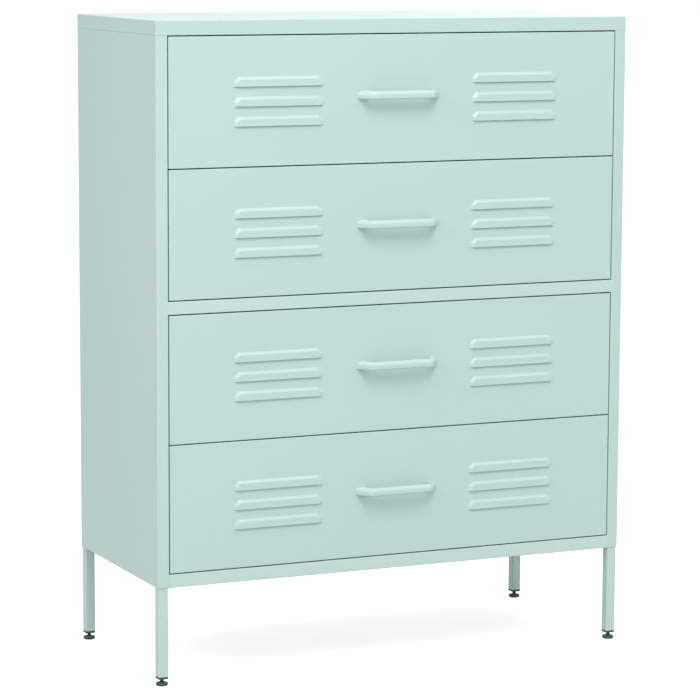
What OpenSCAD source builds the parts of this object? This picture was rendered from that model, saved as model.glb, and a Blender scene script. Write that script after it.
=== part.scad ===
// Steel chest of four drawers on legs, in millimetres.
// The origin is on the floor under the middle of the whole object; +X is to the right,
// +Y to the back, +Z up. The drawer pulls stand proud of the front.

/* [Body] */
// Width over the side panels
body_w = 800; // [500:10:1200]
// Depth from the front face to the back edge
body_d = 350; // [330:5:480]
// Height from the floor to the top
overall_h = 1015; // [900:5:1250]
// Height of the body's underside above the floor
leg_h = 153; // [100:1:220]
// Thickness of the sheet steel
sheet = 0.8; // [0.6:0.1:1.2]
// Height of the top panel's rim
cap_h = 22.3; // [18:0.1:40]
// Width of the flange turned in under the top panel's rim and at the sides' top edges
cap_flange = 15; // [12:0.5:17]
// Width of the front post folded from each side panel
stile_w = 18.4; // [17.8:0.1:30]
// Depth of the post's inner return
stile_d = 30; // [27:1:40]
// Height of the rail between the upper and the lower pair of drawers
middle_rail_h = 19.6; // [12:0.1:40]
// Height of the rail under the lowest drawer
bottom_rail_h = 20.5; // [12:0.5:40]
// Depth of the turned edges of both front rails
rail_fold = 12; // [8:0.5:14]
// Width of the flange turned in at the rear of each side panel
rear_flange = 20; // [18:0.5:28]
// How far the back panel's seat lies inside the back edge
back_inset = 3; // [3:0.1:6]
// Height of the edges turned up at the rear of the bottom panel and over the back panel
back_fold = 15; // [12:0.5:17]

/* [Drawers] */
// Gap round each drawer front
gap = 1.8; // [1:0.1:3]
// Depth of the turned edges of a drawer front
front_fold = 16; // [14:0.5:18]
// Height of a drawer tray's sides
tray_h = 150; // [90:1:165]
// Height of a tray's underside above the lower edge of its front
tray_lift = 12; // [8:0.5:20]
// Width of the rim turned in round the top of a tray
tray_rim = 8; // [5:0.5:12]
// How far a drawer pulls out
travel = 250; // [150:5:260]

/* [Louvres] */
// Number of louvres in a group
louvre_count = 3; // [1:1:4]
// Distance from the middle of the drawer to the middle of a group
louvre_x = 201; // [150:1:230]
// Width of a louvre at its open edge
louvre_w = 150; // [80:1:160]
// Height of a louvre
louvre_h = 15; // [12:0.1:24]
// Distance between louvres
louvre_pitch = 30; // [26:0.5:40]
// How far a louvre stands out
louvre_d = 3; // [2:0.1:6]
// Width of the sloped ends of a louvre
louvre_end = 6.5; // [4:0.5:10]
// Height of the sloped upper band of a louvre
louvre_band = 5; // [3:0.5:7]

/* [Pulls] */
// Width of a pull
pull_w = 140; // [125:1:200]
// How far a pull stands out
pull_reach = 23; // [22:0.5:26]
// Height of a pull's bar
pull_h = 13.5; // [11:0.5:16]
// Thickness of a pull's bar
pull_t = 5; // [4:0.5:7]
// Length of a pull's foot along the drawer
pull_foot = 16; // [15:0.5:20]
// Angle between a pull's sloping end and the drawer
pull_slope = 54; // [50:1:70]
// Outside radius of a pull's bends
pull_bend = 15; // [14.5:0.5:17]
// Inside radius of a pull's bends
pull_bend_in = 8; // [6:0.5:10]
// Radius along a pull's upper edge
pull_round = 7; // [4:0.5:7]
// Radius along a pull's lower edge
pull_low_round = 3; // [1:0.5:4]
// Height of the pull's upper edge above the middle of the drawer
pull_rise = 13; // [5:0.5:30]
// Distance of a pull's screws from its ends
pull_screw_in = 10; // [10:0.5:11]
// Depth of the screw holes in a pull's feet
pull_bore = 8; // [7:0.5:8.5]

/* [Runners] */
// Side space that a pair of runner rails takes
runner_space = 13.3; // [13:0.1:14.5]
// Thickness of the runner rails
rail_t = 1; // [0.8:0.1:1.2]
// Diameter of the rollers
roller_d = 17; // [16:0.5:19]
// Width of the rollers
roller_w = 7; // [6:0.1:7.2]
// Radius of the rollers' pins
pin_r = 2.5; // [2:0.1:3]
// Play between a roller and its pin
pin_play = 0.08; // [0.05:0.01:0.1]
// Play between a roller and the rail that runs on it
roll_play = 0.2; // [0.2:0.05:0.4]
// Height of a drawer rail's web above the tray's underside
drawer_rail_h = 30; // [26:1:40]
// Width of the drawer rail's foot under the tray
rail_foot = 14; // [8:1:20]
// Space between moving rails beside each other
rail_clear = 1; // [0.8:0.1:1.5]
// Height of the lug that stops a drawer when it is out
lug_h = 5; // [4:0.5:6]

/* [Legs and feet] */
// Side of the legs' square tube
leg_side = 16; // [14:0.5:16.5]
// Outer corner radius of the tube
leg_round = 2; // [2:0.1:4]
// Wall of the tube
leg_wall = 1.2; // [1:0.1:1.5]
// How far the legs stand in from the body's faces
leg_inset = 1; // [0.8:0.1:1.5]
// Height of the tube's lower end above the floor
foot_h = 14; // [12:0.5:17]
// Thickness of the end plug's visible flange
plug_flange = 3.5; // [1.5:0.1:4]
// Depth of the end plug inside the tube
plug_depth = 18; // [14:0.5:24]
// Diameter of the foot's pad
pad_d = 19; // [16:0.5:19]
// Thickness of the foot's pad
pad_h = 5; // [4:0.5:5.5]
// Radius of the foot's threaded stud
stud_r = 3; // [2.5:0.1:4]
// Play between stud and plug
stud_play = 0.06; // [0.05:0.01:0.1]
// How far a foot can be screwed out
foot_travel = 10; // [5:1:12]
// Length of stud that stays in the plug when the foot is right out
stud_grip = 10; // [6:1:14]

/* [Fasteners] */
// Radius of the screws' shafts
screw_r = 1.95; // [1.9:0.01:2]
// Radius of the screws' heads
head_r = 3.6; // [3.3:0.1:3.8]
// Height of the screws' heads
head_h = 2; // [1.5:0.1:2]
// Radius of the leg bolts
bolt_r = 3; // [2.5:0.1:3.5]
// Radius of the leg bolts' heads
bolt_head_r = 5.2; // [4.5:0.1:5.2]
// Height of the leg bolts' heads
bolt_head_h = 3.5; // [3:0.1:5]
// Depth of the threaded insert in a leg
insert_h = 14; // [12:0.5:20]
// Extra radius of a hole over its screw
hole_play = 0.1; // [0.05:0.01:0.3]

/* [Hidden] */
$fn = 48;
DRAWERS = [1, 2, 3, 4];

// A hair that keeps faces from falling together, the run of a cut past the face it starts
// from, and the length of a drill
eps = 0.05;
over = 1;
drill_len = 10;

// Play between parts that nest: bottom panel in the sides, back panel between the sides'
// skins, turned edges beside flanges, drawer rail's flange beside the cabinet rail's web
nest_gap = 0.2;
skin_gap = 0.5;
flange_gap = 1;
web_gap = 0.8;

// Planes of the body
side = body_w / 2;
front = (pull_reach - body_d) / 2;
back = front + body_d;
base_z = leg_h;
cap_z = overall_h - cap_h;
seat_y = back - back_inset;
opening = side - stile_w;

// Drawer fronts: four of one height fill what the rails and the gaps leave
front_w = 2 * (opening - gap);
front_h = (cap_z - base_z - bottom_rail_h - middle_rail_h - 6 * gap) / 4;
middle_rail_z = cap_z - 3 * gap - 2 * front_h - middle_rail_h;
function front_z(i) = i < 3 ? cap_z - i * (gap + front_h) : middle_rail_z - (i - 2) * (gap + front_h);
function tray_z(i) = front_z(i) + tray_lift;
function middle_z(i) = front_z(i) + front_h / 2;

// The middle of a pull's right bend lies so far to the right
pull_bend_x = pull_w / 2 - pull_reach / tan(pull_slope) - pull_bend * tan(pull_slope / 2);

// Runners: the drawer's rollers run on the cabinet rail's lower flange, and the drawer
// rail's flange runs on the cabinet's rollers
tray_side = opening - runner_space;
roller_r = roller_d / 2;
stop_gap = 0.3;
head_gap = 0.3;
pin_head = 1;
pin_head_over = 1.6;
pin_head_r = pin_r + pin_head_over;
rail_setback = 2;
rail_end = seat_y - sheet;
rail_start = front + front_fold + rail_setback;
drawer_rail_end = rail_end - rail_t - stop_gap;
roller_inset = 1.5;
rear_axis = drawer_rail_end - roller_r - roller_inset;
front_axis = front + stile_d + roller_r + rail_clear;
tray_setback = 4;
tray_front = front + sheet + stop_gap;
tray_back = rear_axis - pin_head_r - tray_setback;
drawer_flange_rise = 2 * roller_r + 3 * roll_play;
drawer_flange_w = runner_space - rail_t - rail_clear - web_gap;
upper_flange_gap = 5;
upper_flange_w = runner_space - upper_flange_gap;
rail_h = rail_t + drawer_flange_rise + rail_t + 2 * rail_clear + rail_t;
track_x = tray_side + rail_t + rail_clear;
lug_lift = roller_r + roll_play - lug_h;
lug_back = rear_axis - travel - sqrt(roller_r * roller_r - lug_lift * lug_lift) - stop_gap;
function runner_z(i) = tray_z(i) - rail_t;
function track_z(i) = runner_z(i) + rail_t;
function drawer_axis_z(i) = track_z(i) + roll_play + roller_r;
function drawer_flange_z(i) = track_z(i) + drawer_flange_rise;
function cabinet_axis_z(i) = drawer_flange_z(i) - roll_play - roller_r;
function rail_screw_z(i) = runner_z(i) + rail_h / 2;
rail_screw_y = (rail_start + front + stile_d) / 2;

// Rollers have a ring groove in both faces
groove_in = 0.6;
groove_rim = 1.4;
groove_d = 0.7;

// Legs
leg_off = leg_inset + leg_side / 2;
plug_play = 0.05;
plug_side = leg_side - 2 * (leg_wall + plug_play);
plug_z = foot_h - plug_flange;
stud_top = foot_h + foot_travel + stud_grip;
floor_z = base_z + 2 * sheet;

// Fastener rows
screw_len = 6;
screw_short = 2;
cross_slot = 0.6;
head_top = 0.8;
slot_reach = 1.1;
end_margin = 60;
row_spread = 5 / 8;
edge_x = side - leg_off;
side_screw_y = [front + end_margin, (front + back) / 2, back - end_margin];
rear_screw_x = [-1, 0, 1] * row_spread * side;
back_screw_x = side - rear_flange / 2;
bottom_row_z = floor_z + back_fold / 2;
tab_gap = 5;
tab_low = drawer_rail_h + tab_gap;
tab_screw_in = 12;
tab_x = (tray_side + front_w / 2) / 2;
louvre_cut = 8;
crest_cut = 4.8;

MINT = [0.72, 0.86, 0.83];
MINT_INSIDE = [0.66, 0.80, 0.77];
ZINC = [0.72, 0.73, 0.74];
NYLON = [0.93, 0.92, 0.88];
BLACK = [0.14, 0.15, 0.15];

// ---- helpers ----

// A box between two corners
module span(low, high) translate(low) cube(high - low);

// The same on the right and mirrored on the left
module both() {
    children();
    mirror([1, 0, 0]) children();
}

// A square with round corners, centred
module round_square(a, r) {
    square([a - 2 * r, a], center = true);
    square([a, a - 2 * r], center = true);
    for (x = [-1, 1], y = [-1, 1]) translate([x, y] * (a / 2 - r)) circle(r);
}

// A hole for a screw's or a bolt's shaft through the sheets at the origin
module drill(r = screw_r) cylinder(r = r + hole_play, h = drill_len, center = true);

// A pan-head screw: its head's underside at the origin, its shaft along +Z
module screw(r = screw_r, length = screw_len, hr = head_r, hh = head_h) {
    cylinder(r = r, h = length);
    translate([0, 0, -hh]) difference() {
        cylinder(r1 = hr * head_top, r2 = hr, h = hh);
        for (turn = [0, 90]) rotate(turn) cube([hr * slot_reach, cross_slot, hh], center = true);
    }
}

// Places things at the two ends of a drawer pull
module at_pull_screws(i) {
    for (x = [-1, 1]) {
        translate([x * (pull_w / 2 - pull_screw_in), 0, middle_z(i) + pull_rise - pull_h / 2])
            children();
    }
}

// ---- body ----

module top_panel() color(MINT) difference() {
    span([-side, front, cap_z], [side, back, overall_h]);
    span([-side + sheet, front + sheet, cap_z + sheet], [side - sheet, back - sheet, overall_h - sheet]);
    span([-side + cap_flange, front + cap_flange, cap_z - over],
         [side - cap_flange, back - cap_flange, cap_z + 2 * sheet]);
    top_screw_places() drill();
}

// The screws under the top: along both sides and along the back
module top_screw_places() {
    for (y = side_screw_y) both() translate([edge_x, y, cap_z]) children();
    for (x = rear_screw_x) translate([x, seat_y - back_fold / 2, cap_z]) children();
}

module side_panel() color(MINT) difference() {
    union() {
        span([side - sheet, front, base_z], [side, back, cap_z]);
        // front post and its return
        span([opening, front, base_z], [side, front + sheet, cap_z]);
        span([opening, front, floor_z], [opening + sheet, front + stile_d, cap_z]);
        // rear, upper and lower flanges
        span([side - rear_flange, rail_end, floor_z], [side, seat_y, cap_z]);
        span([side - cap_flange, front, cap_z - sheet], [side, seat_y, cap_z]);
        span([opening, front, base_z], [side, seat_y, base_z + sheet]);
    }
    top_screw_places() drill();
    bottom_screw_places() drill();
    leg_places() translate([0, 0, base_z]) drill(bolt_r);
    for (i = DRAWERS) {
        rail_screw_place(i) drill();
        back_rail_screw_place(i) drill();
    }
}

module bottom_screw_places() for (y = side_screw_y) both() translate([edge_x, y, base_z]) children();

module back_panel() color(MINT) difference() {
    union() {
        span([-side + sheet + skin_gap, seat_y, floor_z], [side - sheet - skin_gap, seat_y + sheet, cap_z]);
        span([-side + rear_flange + flange_gap, seat_y - back_fold, cap_z - sheet],
             [side - rear_flange - flange_gap, seat_y + sheet, cap_z]);
    }
    top_screw_places() drill();
    for (i = DRAWERS) back_rail_screw_place(i) drill();
    bottom_row_places() drill();
}

// The screws through the back panel and the side's rear flange into a rail's rear tab
module back_rail_screw_place(i) both() translate([back_screw_x, seat_y + sheet, rail_screw_z(i)])
    rotate([90, 0, 0]) children();

module bottom_row_places() for (x = rear_screw_x) translate([x, seat_y + sheet, bottom_row_z])
    rotate([90, 0, 0]) children();

module bottom_panel() color(MINT) difference() {
    union() {
        span([-side + sheet + nest_gap, front + sheet + nest_gap, base_z + sheet],
             [side - sheet - nest_gap, seat_y - sheet - nest_gap, floor_z]);
        // front rail, turned up between the posts and back at its upper edge
        span([-opening, front, base_z], [opening, front + sheet, base_z + bottom_rail_h]);
        span([-opening, front, base_z + sheet], [opening, front + rail_fold, floor_z]);
        span([-opening, front, base_z + bottom_rail_h - sheet],
             [opening, front + rail_fold, base_z + bottom_rail_h]);
        // rear edge, turned up in front of the back panel
        span([-side + rear_flange + flange_gap, seat_y - sheet, base_z + sheet],
             [side - rear_flange - flange_gap, seat_y, floor_z + back_fold]);
        span([-side + rear_flange + flange_gap, seat_y - rail_fold, base_z + sheet],
             [side - rear_flange - flange_gap, seat_y, floor_z]);
    }
    bottom_screw_places() drill();
    bottom_row_places() drill();
    leg_places() translate([0, 0, base_z]) drill(bolt_r);
}

module middle_rail() color(MINT) difference() {
    span([-opening, front, middle_rail_z], [opening, front + rail_fold, middle_rail_z + middle_rail_h]);
    span([-opening + sheet, front + sheet, middle_rail_z + sheet],
         [opening - sheet, front + rail_fold + over, middle_rail_z + middle_rail_h - sheet]);
}

// The screws of the top, the bottom and the cabinet rails are all alike
module body_screws() color(ZINC) {
    top_screw_places() translate([0, 0, -sheet]) screw();
    bottom_screw_places() screw();
    for (i = DRAWERS) rail_screw_place(i) screw();
}

module back_screws() color(ZINC) {
    for (i = DRAWERS) back_rail_screw_place(i) screw();
    bottom_row_places() screw();
}

// ---- legs and feet ----

// The four places of the legs, named by their signs in X and Y
module leg_place(x, y) {
    translate([x * edge_x, y < 0 ? front + leg_off : back - leg_off, 0]) children();
}

module leg_places() for (x = [-1, 1], y = [-1, 1]) leg_place(x, y) children();

module leg() color(MINT) translate([0, 0, foot_h]) difference() {
    linear_extrude(base_z - foot_h) round_square(leg_side, leg_round);
    translate([0, 0, -over]) linear_extrude(base_z + 2 * over)
        round_square(leg_side - 2 * leg_wall, leg_round - leg_wall);
}

module leg_inserts() color(ZINC) leg_places() translate([0, 0, base_z - insert_h]) difference() {
    linear_extrude(insert_h) round_square(plug_side, leg_round - leg_wall);
    translate([0, 0, -over]) cylinder(r = bolt_r + stud_play, h = insert_h + 2 * over);
}

module leg_plugs() color(BLACK) leg_places() translate([0, 0, plug_z]) difference() {
    union() {
        linear_extrude(plug_flange) round_square(leg_side, leg_round);
        linear_extrude(plug_flange + plug_depth) round_square(plug_side, leg_round - leg_wall);
    }
    translate([0, 0, -over]) cylinder(r = stud_r + stud_play, h = plug_depth + plug_flange + 2 * over);
}

module leg_bolts() color(ZINC) leg_places() translate([0, 0, floor_z]) mirror([0, 0, 1])
    screw(bolt_r, insert_h + 2 * sheet - screw_short, bolt_head_r, bolt_head_h);

module foot() color(BLACK) {
    bulge = pad_h / 2;
    rotate_extrude() {
        square([pad_d / 2 - bulge, pad_h]);
        translate([pad_d / 2 - bulge, bulge]) intersection() {
            circle(bulge);
            translate([-bulge, -bulge]) square([2 * bulge, 2 * bulge]);
        }
    }
    cylinder(r = stud_r, h = stud_top);
}

// ---- runners ----

module cabinet_rail(i) {
    low = runner_z(i);
    difference() {
        union() {
            // web, lower flange that is the track, upper flange
            span([opening - rail_t, rail_start, low], [opening, rail_end, low + rail_h]);
            span([track_x, rail_start, low], [opening, rail_end, low + rail_t]);
            span([opening - upper_flange_w, rail_start, low + rail_h - rail_t],
                 [opening, rail_end, low + rail_h]);
            // rear tab, which also stops the drawer when it closes
            span([track_x, rail_end - rail_t, low], [side - sheet - flange_gap, rail_end, low + rail_h]);
            // lug that stops the drawer's roller when the drawer is out
            span([track_x, lug_back - rail_t, low], [opening, lug_back, low + rail_t + lug_h]);
        }
        rail_screw_place(i) drill();
        back_rail_screw_place(i) drill();
        translate([opening, front_axis, cabinet_axis_z(i)]) rotate([0, 90, 0])
            cylinder(r = pin_r + eps, h = drill_len, center = true);
    }
}
module cabinet_rails(i) color(ZINC) both() cabinet_rail(i);

// The screw through a cabinet rail's web into the post's return
module rail_screw_place(i) both() translate([opening - rail_t, rail_screw_y, rail_screw_z(i)])
    rotate([0, 90, 0]) children();

// A roller on its side, centred in Y and Z, from x = 0 to its width
module roller() rotate([0, 90, 0]) rotate_extrude() difference() {
    translate([pin_r + pin_play, 0]) square([roller_r - pin_r - pin_play, roller_w]);
    for (z = [0, roller_w]) translate([pin_head_r + groove_in, z - groove_d])
        square([roller_r - pin_head_r - groove_in - groove_rim, 2 * groove_d]);
}

module cabinet_rollers(i) color(NYLON) both()
    translate([opening - rail_t - head_gap - roller_w, front_axis, cabinet_axis_z(i)]) roller();

module drawer_rollers(i) color(NYLON) both()
    translate([tray_side + rail_t + head_gap, rear_axis, drawer_axis_z(i)]) roller();

// A rivet along +X from a rail's face at x = 0: head outside, shaft through rail and roller, head
module rivet() {
    shaft = rail_t + head_gap + roller_w + head_gap;
    rotate([0, 90, 0]) {
        translate([0, 0, -pin_head]) cylinder(r = pin_head_r, h = pin_head);
        cylinder(r = pin_r, h = shaft + pin_head);
        translate([0, 0, shaft]) cylinder(r = pin_head_r, h = pin_head);
    }
}

module cabinet_roller_pins() color(ZINC) for (i = DRAWERS) both()
    translate([opening, front_axis, cabinet_axis_z(i)]) mirror([1, 0, 0]) rivet();

module roller_pins(i) color(ZINC) both() translate([tray_side, rear_axis, drawer_axis_z(i)]) rivet();

module drawer_rails(i) color(ZINC) both() difference() {
    union() {
        span([tray_side - rail_foot, rail_start, tray_z(i) - rail_t],
             [tray_side + rail_t, drawer_rail_end, tray_z(i)]);
        span([tray_side, rail_start, tray_z(i) - rail_t],
             [tray_side + rail_t, drawer_rail_end, tray_z(i) + drawer_rail_h]);
        span([tray_side, rail_start, drawer_flange_z(i)],
             [tray_side + drawer_flange_w, drawer_rail_end, drawer_flange_z(i) + rail_t]);
    }
    translate([tray_side, rear_axis, drawer_axis_z(i)]) rotate([0, 90, 0])
        cylinder(r = pin_r + eps, h = drill_len, center = true);
}

// ---- drawers ----

// The six corners of a louvre's outline, from the lower left one round to the lower right one
function outline(w, h, cut, low) = [
    [-w / 2, -low], [-w / 2, h - cut], [-w / 2 + cut, h], [w / 2 - cut, h], [w / 2, h - cut], [w / 2, -low]
];

// A louvre's form from y = deep to y = -out: its outline narrows towards the crest
module louvre_form(shrink, deep, out, low) {
    base = outline(louvre_w - 2 * shrink, louvre_h - shrink, louvre_cut, low);
    crest = outline(louvre_w - 2 * shrink - 2 * louvre_end, louvre_h - shrink - louvre_band,
                    crest_cut, low);
    polyhedron(
        points = concat([for (p = base) [p[0], deep, p[1]]], [for (p = crest) [p[0], -out, p[1]]]),
        faces = concat([[5, 4, 3, 2, 1, 0], [6, 7, 8, 9, 10, 11]],
                       [for (k = [0:5]) [k, (k + 1) % 6, (k + 1) % 6 + 6, k + 6]]));
}
module louvre_places(i) for (x = [-1, 1], k = [0:louvre_count - 1])
    translate([x * louvre_x, front,
               middle_z(i) - louvre_h / 2 + (k - (louvre_count - 1) / 2) * louvre_pitch]) children();

module drawer_front(i) color(MINT) {
    w = front_w / 2;
    low = front_z(i);
    high = low + front_h;
    inner = tray_side + skin_gap;
    difference() {
        union() {
            difference() {
                span([-w, front, low], [w, front + front_fold, high]);
                span([-w + sheet, front + sheet, low + sheet],
                     [w - sheet, front + front_fold + over, high - sheet]);
            }
            // edges turned in behind the ends, for the tray's screws
            both() span([inner, front + front_fold - sheet, low], [w, front + front_fold, high]);
            louvre_places(i) louvre_form(0, 0, louvre_d, 0);
        }
        louvre_places(i) louvre_form(sheet, sheet + eps, louvre_d - sheet, eps);
        at_pull_screws(i) translate([0, front, 0]) rotate([90, 0, 0]) drill();
        front_screw_places(i) drill();
    }
}

module front_screw_places(i) both() for (z = [tab_low + tab_screw_in, tray_h - tab_screw_in])
    translate([tab_x, front + front_fold + sheet, tray_z(i) + z]) rotate([90, 0, 0]) children();

module drawer_tray(i) color(MINT_INSIDE) {
    low = tray_z(i);
    high = low + tray_h;
    difference() {
        union() {
            difference() {
                span([-tray_side, tray_front, low], [tray_side, tray_back, high]);
                span([-tray_side + sheet, tray_front - over, low + sheet],
                     [tray_side - sheet, tray_back - sheet, high - sheet]);
                span([-tray_side + tray_rim, tray_front - over, high - sheet - over],
                     [tray_side - tray_rim, tray_back - tray_rim, high + over]);
            }
            // tabs turned out behind the front's turned-in edges
            both() span([tray_side - sheet, front + front_fold, low + tab_low],
                        [front_w / 2 - sheet, front + front_fold + sheet, high]);
        }
        front_screw_places(i) drill();
    }
}

module front_screws(i) color(ZINC) front_screw_places(i) screw();

module pull_screws(i) color(ZINC) at_pull_screws(i) translate([0, front + sheet, 0])
    rotate([90, 0, 0]) screw(length = pull_bore);

// A quarter of a disc, in the corner right of and above the origin
module quarter(r) intersection() {
    circle(r);
    square(r);
}

// A pull's section, so deep behind its outer side, which has both edges rounded
module pull_section(depth) {
    square([depth - pull_round, pull_h]);
    square([depth - pull_low_round, pull_h - pull_round]);
    translate([0, pull_low_round]) square([depth, pull_h - pull_round - pull_low_round]);
    translate([depth - pull_round, pull_h - pull_round]) quarter(pull_round);
    translate([depth - pull_low_round, pull_low_round]) mirror([0, 1]) quarter(pull_low_round);
}

// A long and deep bar of that section, whose outer side lies in the plane y = 0
module pull_slab() translate([2 * pull_w, 2 * pull_w, 0]) rotate([90, 0, -90])
    linear_extrude(4 * pull_w) pull_section(2 * pull_w);

// The same turned to a pull's right sloping end
module pull_end() translate([pull_w / 2, 0, 0]) rotate([0, 0, pull_slope]) pull_slab();

// What rounds a pull's right bend: the corner outside the bend's arc
module pull_corner() {
    far = pull_bend + over;
    translate([pull_bend_x, pull_bend - pull_reach, -over]) linear_extrude(pull_h + 2 * over)
        difference() {
            polygon([[0, 0], [0, -far], [far * tan(pull_slope / 2), -far],
                     [far * sin(pull_slope), -far * cos(pull_slope)]]);
            circle(pull_bend - eps);
        }
}

// The filled body of a pull: a straight front and two sloping ends, cut off at the drawer
module pull_body() difference() {
    intersection() {
        span([-pull_w, -2 * pull_reach, -over], [pull_w, 0, pull_h + over]);
        translate([0, -pull_reach, 0]) pull_slab();
        pull_end();
        mirror([1, 0, 0]) pull_end();
    }
    both() pull_corner();
}

// The space behind a pull's bar, in plan
module pull_gap() {
    wide = pull_w / 2 - pull_foot;
    deep = pull_reach - pull_t;
    r = pull_bend_in;
    translate([-wide, r - deep]) square([2 * wide, deep - r + over]);
    translate([r - wide, -deep]) square([2 * (wide - r), deep]);
    for (x = [-1, 1]) translate([x * (wide - r), r - deep]) circle(r);
}

// A bow pull: a bar with a rounded face whose ends slope back to two feet on the drawer
module pull(i) color(MINT) difference() {
    translate([0, front, middle_z(i) + pull_rise - pull_h]) difference() {
        pull_body();
        translate([0, 0, -over]) linear_extrude(pull_h + 2 * over) pull_gap();
    }
    at_pull_screws(i) translate([0, front + over, 0]) rotate([90, 0, 0])
        cylinder(r = screw_r + eps, h = pull_bore + over);
}

top_panel();
mirror([1, 0, 0]) side_panel();  // side_panel_left
side_panel();  // side_panel_right
back_panel();
bottom_panel();
middle_rail();
leg_place(-1, -1) leg();  // leg_front_left
leg_place(1, -1) leg();  // leg_front_right
leg_place(-1, 1) leg();  // leg_rear_left
leg_place(1, 1) leg();  // leg_rear_right
leg_inserts();
leg_plugs();
leg_bolts();
leg_place(-1, -1) foot();  // foot_front_left
leg_place(1, -1) foot();  // foot_front_right
leg_place(-1, 1) foot();  // foot_rear_left
leg_place(1, 1) foot();  // foot_rear_right
body_screws();
back_screws();
cabinet_roller_pins();
for (i = DRAWERS) {
    cabinet_rails(i);
    cabinet_rollers(i);
    drawer_front(i);
    drawer_tray(i);
    drawer_rails(i);
    drawer_rollers(i);
    roller_pins(i);
    pull(i);
    pull_screws(i);
    front_screws(i);
}
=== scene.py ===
"""Looks of a steel chest of four drawers on legs. Metres; the frame's axes: +X right, +Y back, +Z up."""
from math import acos, cos, hypot, pi, radians, sin, sqrt, tan

import bmesh
import bpy
from mathutils import Matrix, Vector
from mathutils.geometry import delaunay_2d_cdt

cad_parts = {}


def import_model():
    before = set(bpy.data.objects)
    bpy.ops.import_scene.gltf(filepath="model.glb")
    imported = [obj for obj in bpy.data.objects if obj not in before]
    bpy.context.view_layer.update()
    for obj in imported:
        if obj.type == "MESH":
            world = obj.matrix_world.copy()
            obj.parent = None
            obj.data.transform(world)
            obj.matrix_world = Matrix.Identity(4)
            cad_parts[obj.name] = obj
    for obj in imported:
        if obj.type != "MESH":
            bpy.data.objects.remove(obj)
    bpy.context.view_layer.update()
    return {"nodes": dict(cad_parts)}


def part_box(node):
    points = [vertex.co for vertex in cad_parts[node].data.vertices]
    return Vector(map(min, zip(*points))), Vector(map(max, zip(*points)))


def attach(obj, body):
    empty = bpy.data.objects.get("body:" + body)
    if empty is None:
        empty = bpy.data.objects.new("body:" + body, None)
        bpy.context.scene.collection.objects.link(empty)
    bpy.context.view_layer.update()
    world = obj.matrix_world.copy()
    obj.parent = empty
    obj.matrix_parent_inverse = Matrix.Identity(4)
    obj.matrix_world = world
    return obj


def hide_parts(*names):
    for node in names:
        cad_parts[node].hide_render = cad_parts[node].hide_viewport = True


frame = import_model()

# ---- sizes, in metres ----

SHEET = 0.0008              # sheet steel
BEND = 0.0011               # outside radius of a fold
DRAWER_BEND = 0.0013        # outside radius of the drawer fronts' folds
CAP_FLANGE = 0.015          # flanges under the cap and at the sides' top edges
POST_RETURN = 0.030         # depth of a post's inner return
REAR_FLANGE = 0.020         # flange at the rear of each side
RAIL_FOLD = 0.012           # turned edges of the front rails
BOTTOM_RAIL = 0.0205        # height of the rail under the lowest drawer
BACK_FOLD = 0.015           # turned edges at the rear
FLANGE_GAP = 0.001          # play between turned edges beside each other
RAIL_LAP = 0.00075          # how far the front rails run on over the posts' rounded edges
JOGGLE = 0.0015             # length of the step from the bottom rail's fold up to the floor plate
FRONT_FOLD = 0.016          # depth of a drawer front's turned edges
LIP_GAP = 0.0005            # from a tray's side to the edge turned in behind the front
LIP_NOTCH = 0.001           # corner cut between that edge and the folds above and below it
FACE_MARGIN = 0.012         # plain border of a drawer front round the faces with the louvres
TRAY_RIM = 0.008            # rim round the top of a tray
TAB_LOW = 0.035             # lower end of a tray's tabs above its underside

LOUVRE_COUNT = 3            # louvres in a group
LOUVRE_X = 0.201            # middle of a group from the middle of the drawer
LOUVRE_W = 0.150            # width at the open edge
LOUVRE_H = 0.015            # height
LOUVRE_PITCH = 0.030        # from a louvre to the next
LOUVRE_END = 0.0065         # width of the sloped ends
LOUVRE_BAND = 0.005         # height of the sloped upper band
LOUVRE_CUT = 0.008          # cut of the upper corners
LOUVRE_CUT_CREST = 0.0048   # the same cut on the crest
LOUVRE_ROUND = 0.0016       # rounding of the outline's corners
LOUVRE_FILLET = 0.22        # share of the slope that each of its two fillets takes
LOUVRE_LEVELS = [0, 0.1, 0.2, 0.35, 0.5, 0.65, 0.8, 0.9, 1]     # shares of the slope with a ring

PULL_T = 0.005              # thickness of the bar
PULL_FOOT = 0.016           # length of a foot along the drawer
PULL_SLOPE = radians(54)    # between a sloping end and the drawer
PULL_BEND = 0.015           # outside radius of the bends, in plan
PULL_BEND_IN = 0.008        # inside radius of the bends
PULL_ROUND = 0.007          # radius along the upper edge
PULL_LOW_ROUND = 0.003      # radius along the lower edge
PULL_NICK = 0.0004          # softening of the edges behind the bar
PULL_SCREW_IN = 0.010       # from a pull's end to its screw
PULL_BORE = 0.008           # depth of the screw's hole
PULL_BORE_R = 0.002
PULL_LAST_RINGS = [0.0006, 0.0002, 0.00003]     # last stations, measured from a foot's thin end
BEND_STEPS = 12             # stations round a bend
SLOPE_STEPS = 10            # stations along a sloping end
DEPTH_STEP = 0.0002         # step of the search for the bar's depth
HALVINGS = 14               # halvings that narrow it down

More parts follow.
